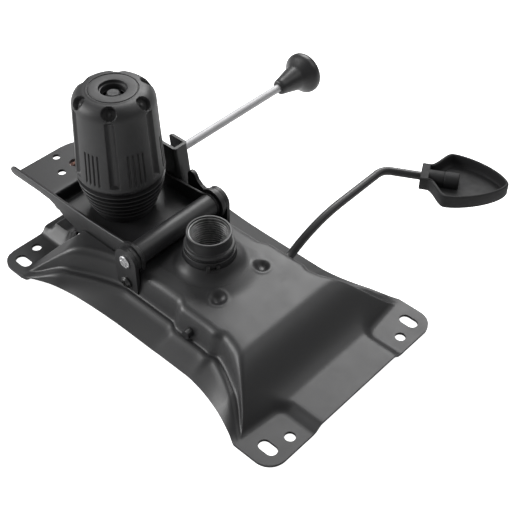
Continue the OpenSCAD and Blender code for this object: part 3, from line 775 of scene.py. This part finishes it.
class TILT_OT_paddle(bpy.types.Operator):
    """Loft the paddle from rings round its wall, lip and dish, and add the rod's boss"""
    bl_idname = "tilt.paddle"
    bl_label = "Lift paddle"

    def execute(self, context):
        rings = [paddle_ring(start, inset, z) for z, start, inset in PADDLE_RINGS]
        n = len(rings[0])
        points = [p for ring in rings for p in ring]
        walls = [(at + k, at + (k + 1) % n, at + n + (k + 1) % n, at + n + k)
                 for at in range(0, len(points) - n, n) for k in range(n)]
        last = len(points) - n
        mesh = bpy.data.meshes.new("paddle")
        mesh.from_pydata(points, [], [*walls, list(range(n)), list(range(last, last + n))])
        paddle = bpy.data.objects.new("paddle", mesh)
        context.scene.collection.objects.link(paddle)
        edit(paddle)
        parts = []
        runs = ((6.2, 18.6, 6.3, 0.15), (18.4, 19.2, 5.9, 0.15), (19, 31, 6.6, 1))
        for start, end, r, edge in runs:
            arch = [(r * cos(radians(a)), r * sin(radians(a))) for a in range(0, 181, 9)]
            block = prism("boss", [*arch, (-r, -5), (r, -5)], start, end, "X")
            parts.append(bevelled(block, edge, 4, 50))
        joined(paddle, *parts)
        done(moved(paddle, lever_end()), "paddle_shell", "paddle_plastic", "lift", "lift_paddle",
             smooth=40)
        return {"FINISHED"}


# Tilt tray

WALL_Y, TRAY_T, WALL_TOP, FLOOR_Z = 40.5, 2.5, 45.8, 34.5
TAIL_X, STEP_X = -175.5, -131
PIVOT_X, PIVOT_Z, TUBE_R, COLLAR_ROOM_R = -38.0, 42.0, 9.0, 12.7
# Holes of the rear plate: place and radius
REAR_HOLES = ((-167.8, -7.5, 3.3), (-149.2, 16.9, 3.4), (-149.2, -16.9, 3.4), (-151, -1.5, 5))


def wall_outline(tip):
    """Outline of a side wall in X and Z, with its rear tip at tip."""
    top, floor, eye_r = WALL_TOP, PLATFORM, TUBE_R + 0.7
    eye = [(PIVOT_X + eye_r * cos(radians(a)), PIVOT_Z + eye_r * sin(radians(a)))
           for a in range(-86, 91, 11)]
    return [*eye, (-48, floor + 16.4), (-70, floor + 14.8), (-92, top), (tip + 5, top),
            (tip + 2, top - 1.2), (tip, top - 4), (tip + 1.4, top - 7), (tip + 4.5, top - 8),
            (-150, top - 7.4), (-138, top - 8.2), (-128, top - 11.6), (-120, top - 17),
            (-110.2, top - 19.4), (-108.7, floor - 9), (-56, floor - 9), (-51, floor - 5),
            (-51, floor + 0.2)]


def thick_line(points, t):
    """Outline of a folded sheet: the line and the same line set off by t to its left."""
    left = []
    for k, p in enumerate(points):
        before = points[max(k - 1, 0)]
        after = points[min(k + 1, len(points) - 1)]
        d = (after - before).normalized()
        left.append(p + Vector((-d.y, d.x)) * t)
    return [tuple(p) for p in points + left[::-1]]


class TILT_OT_tray(bpy.types.Operator):
    """Fold the tilt tray: two walls, the pan with its step, and the rear plate"""
    bl_idname = "tilt.tray"
    bl_label = "Tilt tray"

    def execute(self, context):
        walls = []
        for lo, tip in ((-WALL_Y, TAIL_X - 11), (WALL_Y - TRAY_T, TAIL_X + 12)):
            hi = lo + TRAY_T
            wall = bevelled(prism("wall", wall_outline(tip), lo, hi, "Y"), 0.8, 3, 40)
            walls.append(cut(wall, bored("eye", PIVOT_X, PIVOT_Z, TUBE_R + 0.02, lo - 3, hi + 3)))
        plate_z, fold_end = WALL_TOP - 0.5, STEP_X - 8
        fold = rounded([Vector((-46, FLOOR_Z)), Vector((STEP_X, FLOOR_Z)),
                        Vector((STEP_X, plate_z)), Vector((fold_end, plate_z))], [2.4, 2.8], 6)
        pan = prism("pan", thick_line(fold, TRAY_T), 1 - WALL_Y, WALL_Y - 1, "Y")
        cut(pan, prism("slot", slot_outline(COLUMN_X, 0, 17, 15), 25, 40))
        tail = [(fold_end, 1 - WALL_Y), (TAIL_X, 1 - WALL_Y), (TAIL_X, 3)]
        tail += soft([(TAIL_X, 3), (TAIL_X + 0.8, 10), (TAIL_X + 2.6, 15), (TAIL_X + 6, 21),
                      (TAIL_X + 12, 28), (TAIL_X + 19, WALL_Y - 1)], 3)[1:]
        rear = prism("rear", [*tail, (fold_end, WALL_Y - 1)], plate_z - TRAY_T, plate_z)
        cut(rear, *[prism("hole", circle(x, y, r), 40, 50) for x, y, r in REAR_HOLES])
        tray = joined(*walls, pan, rear)
        done(tray, "folded_tray", "tray_steel", "tray", "tilt_tray", smooth=40)
        return {"FINISHED"}


# Finer edges on the solids that stay

class TILT_OT_edges(bpy.types.Operator):
    """Break the sharp edges of the solids that stay as they are"""
    bl_idname = "tilt.edges"
    bl_label = "Edges"

    def execute(self, context):
        widths = {"pivot_ear_near": 0.4, "pivot_ear_far": 0.4, "pivot_pin_cap": 0.5,
                  "lock_bracket": 0.35, "lock_stay": 0.4, "tube_collar_near": 0.5,
                  "tube_collar_far": 0.5, "pivot_bush_near": 0.5, "pivot_bush_far": 0.5,
                  "ear_screw_near": 0.2, "ear_screw_far": 0.2, "tension_bolt": 0.3,
                  "knob_nut": 0.3, "back_bar_nut": 0.3, "socket_clip": 0.3}
        for name, width in widths.items():
            m = frame["nodes"][name].modifiers.new("edge", "BEVEL")
            m.width, m.segments = width * MM, 2
            m.limit_method, m.angle_limit = "ANGLE", radians(50)
            m.use_clamp_overlap = True
        return {"FINISHED"}


# Stage

# Name, place, side and power of each light; all of them face the origin
LIGHTS = (("key", (-1.3, -1.0, 0.75), 0.7, 25),
          ("top", (-0.72, -0.45, 1.3), 0.4, 1.5),
          ("rear", (-0.75, 1.15, 1.2), 1.0, 27),
          ("front", (0.6, 0.9, 1.3), 1.0, 5))


class TILT_OT_stage(bpy.types.Operator):
    """Make the floor, the lights and the camera"""
    bl_idname = "tilt.stage"
    bl_label = "Stage"

    def execute(self, context):
        scene = context.scene
        scene.view_settings.view_transform = "Standard"
        bpy.ops.object.select_all(action="DESELECT")
        bpy.ops.mesh.primitive_plane_add(size=12, location=(0, 0, -0.0005))
        floor = context.object
        floor.name = "floor"
        m = bpy.data.materials.new("floor")
        m.use_nodes = True
        t = m.node_tree
        shader = t.nodes["Principled BSDF"]
        shader.inputs["Base Color"].default_value = (*finishes().floor, 1)
        shader.inputs["Roughness"].default_value = 0.9
        shader.inputs["Specular IOR Level"].default_value = 0.1
        shader.inputs["Emission Color"].default_value = (1, 1, 1, 1)
        seen = node(t, "ShaderNodeLightPath", -700, -300).outputs["Is Camera Ray"]
        t.links.new(mapped(t, seen, 0, 1, 0, 1, y=-300), shader.inputs["Emission Strength"])
        floor.data.materials.append(m)
        add_world(scene)
        for name, place, size, watts in LIGHTS:
            light = bpy.data.lights.new(name, "AREA")
            light.energy, light.size = watts, size
            lamp = bpy.data.objects.new(name, light)
            lamp.location = place
            lamp.rotation_euler = (-Vector(place)).to_track_quat("-Z", "Y").to_euler()
            scene.collection.objects.link(lamp)
        add_camera(scene)
        return {"FINISHED"}


def add_world(scene):
    """White to the camera, dimmer as a source of light."""
    world = bpy.data.worlds.new("studio")
    world.use_nodes = True
    t = world.node_tree
    background = t.nodes["Background"]
    background.inputs["Color"].default_value = (1, 1, 1, 1)
    seen = node(t, "ShaderNodeLightPath", -600, 0).outputs["Is Camera Ray"]
    t.links.new(mapped(t, seen, 0, 1, 0.25, 1), background.inputs["Strength"])
    scene.world = world


def add_camera(scene):
    """The camera stands where the photograph was taken from; focal length in pixels."""
    yaw, pitch, roll = radians(42.23), radians(43.71), radians(0.75)
    aim, away = Vector((-0.002, 0.05323, 0)), 0.8064
    back = Vector((sin(yaw) * cos(pitch), -cos(yaw) * cos(pitch), sin(pitch)))
    right = Vector((cos(yaw), sin(yaw), 0))
    up = back.cross(right)
    right, up = cos(roll) * right + sin(roll) * up, cos(roll) * up - sin(roll) * right
    data = bpy.data.cameras.new("camera")
    photo_side, focal = 512, 1011.05
    data.sensor_width, data.lens = 36, focal / photo_side * 36
    camera = bpy.data.objects.new("camera", data)
    place = Matrix((right, up, back)).transposed().to_4x4()
    place.translation = aim + back * away
    camera.matrix_world = place
    scene.collection.objects.link(camera)
    scene.camera = camera


class TILT_PT_panel(bpy.types.Panel):
    bl_idname = "TILT_PT_panel"
    bl_label = "Tilt mechanism"
    bl_space_type = "VIEW_3D"
    bl_region_type = "UI"
    bl_category = "Tilt mechanism"

    def draw(self, context):
        for step in STEPS:
            self.layout.operator(step.bl_idname)
        for group in (finishes(), sizes()):
            for name in group.__annotations__:
                self.layout.prop(group, name)


STEPS = [TILT_OT_finishes, TILT_OT_plate, TILT_OT_socket, TILT_OT_column, TILT_OT_pin,
         TILT_OT_lock_knob, TILT_OT_paddle, TILT_OT_tray, TILT_OT_edges, TILT_OT_stage]
GROUPS = {"tilt_finishes": TiltFinishes, "tilt_sizes": TiltSizes}


def register():
    for group in GROUPS.values():
        bpy.utils.register_class(group)
    for step in STEPS:
        bpy.utils.register_class(step)
    bpy.utils.register_class(TILT_PT_panel)
    for name, group in GROUPS.items():
        setattr(bpy.types.Scene, name, PointerProperty(type=group))


def unregister():
    for name in GROUPS:
        delattr(bpy.types.Scene, name)
    for thing in (TILT_PT_panel, *reversed(STEPS), *GROUPS.values()):
        bpy.utils.unregister_class(thing)


def main():
    register()
    for step in STEPS:
        area, name = step.bl_idname.split(".")
        getattr(getattr(bpy.ops, area), name)()


if __name__ == "__main__":
    main()
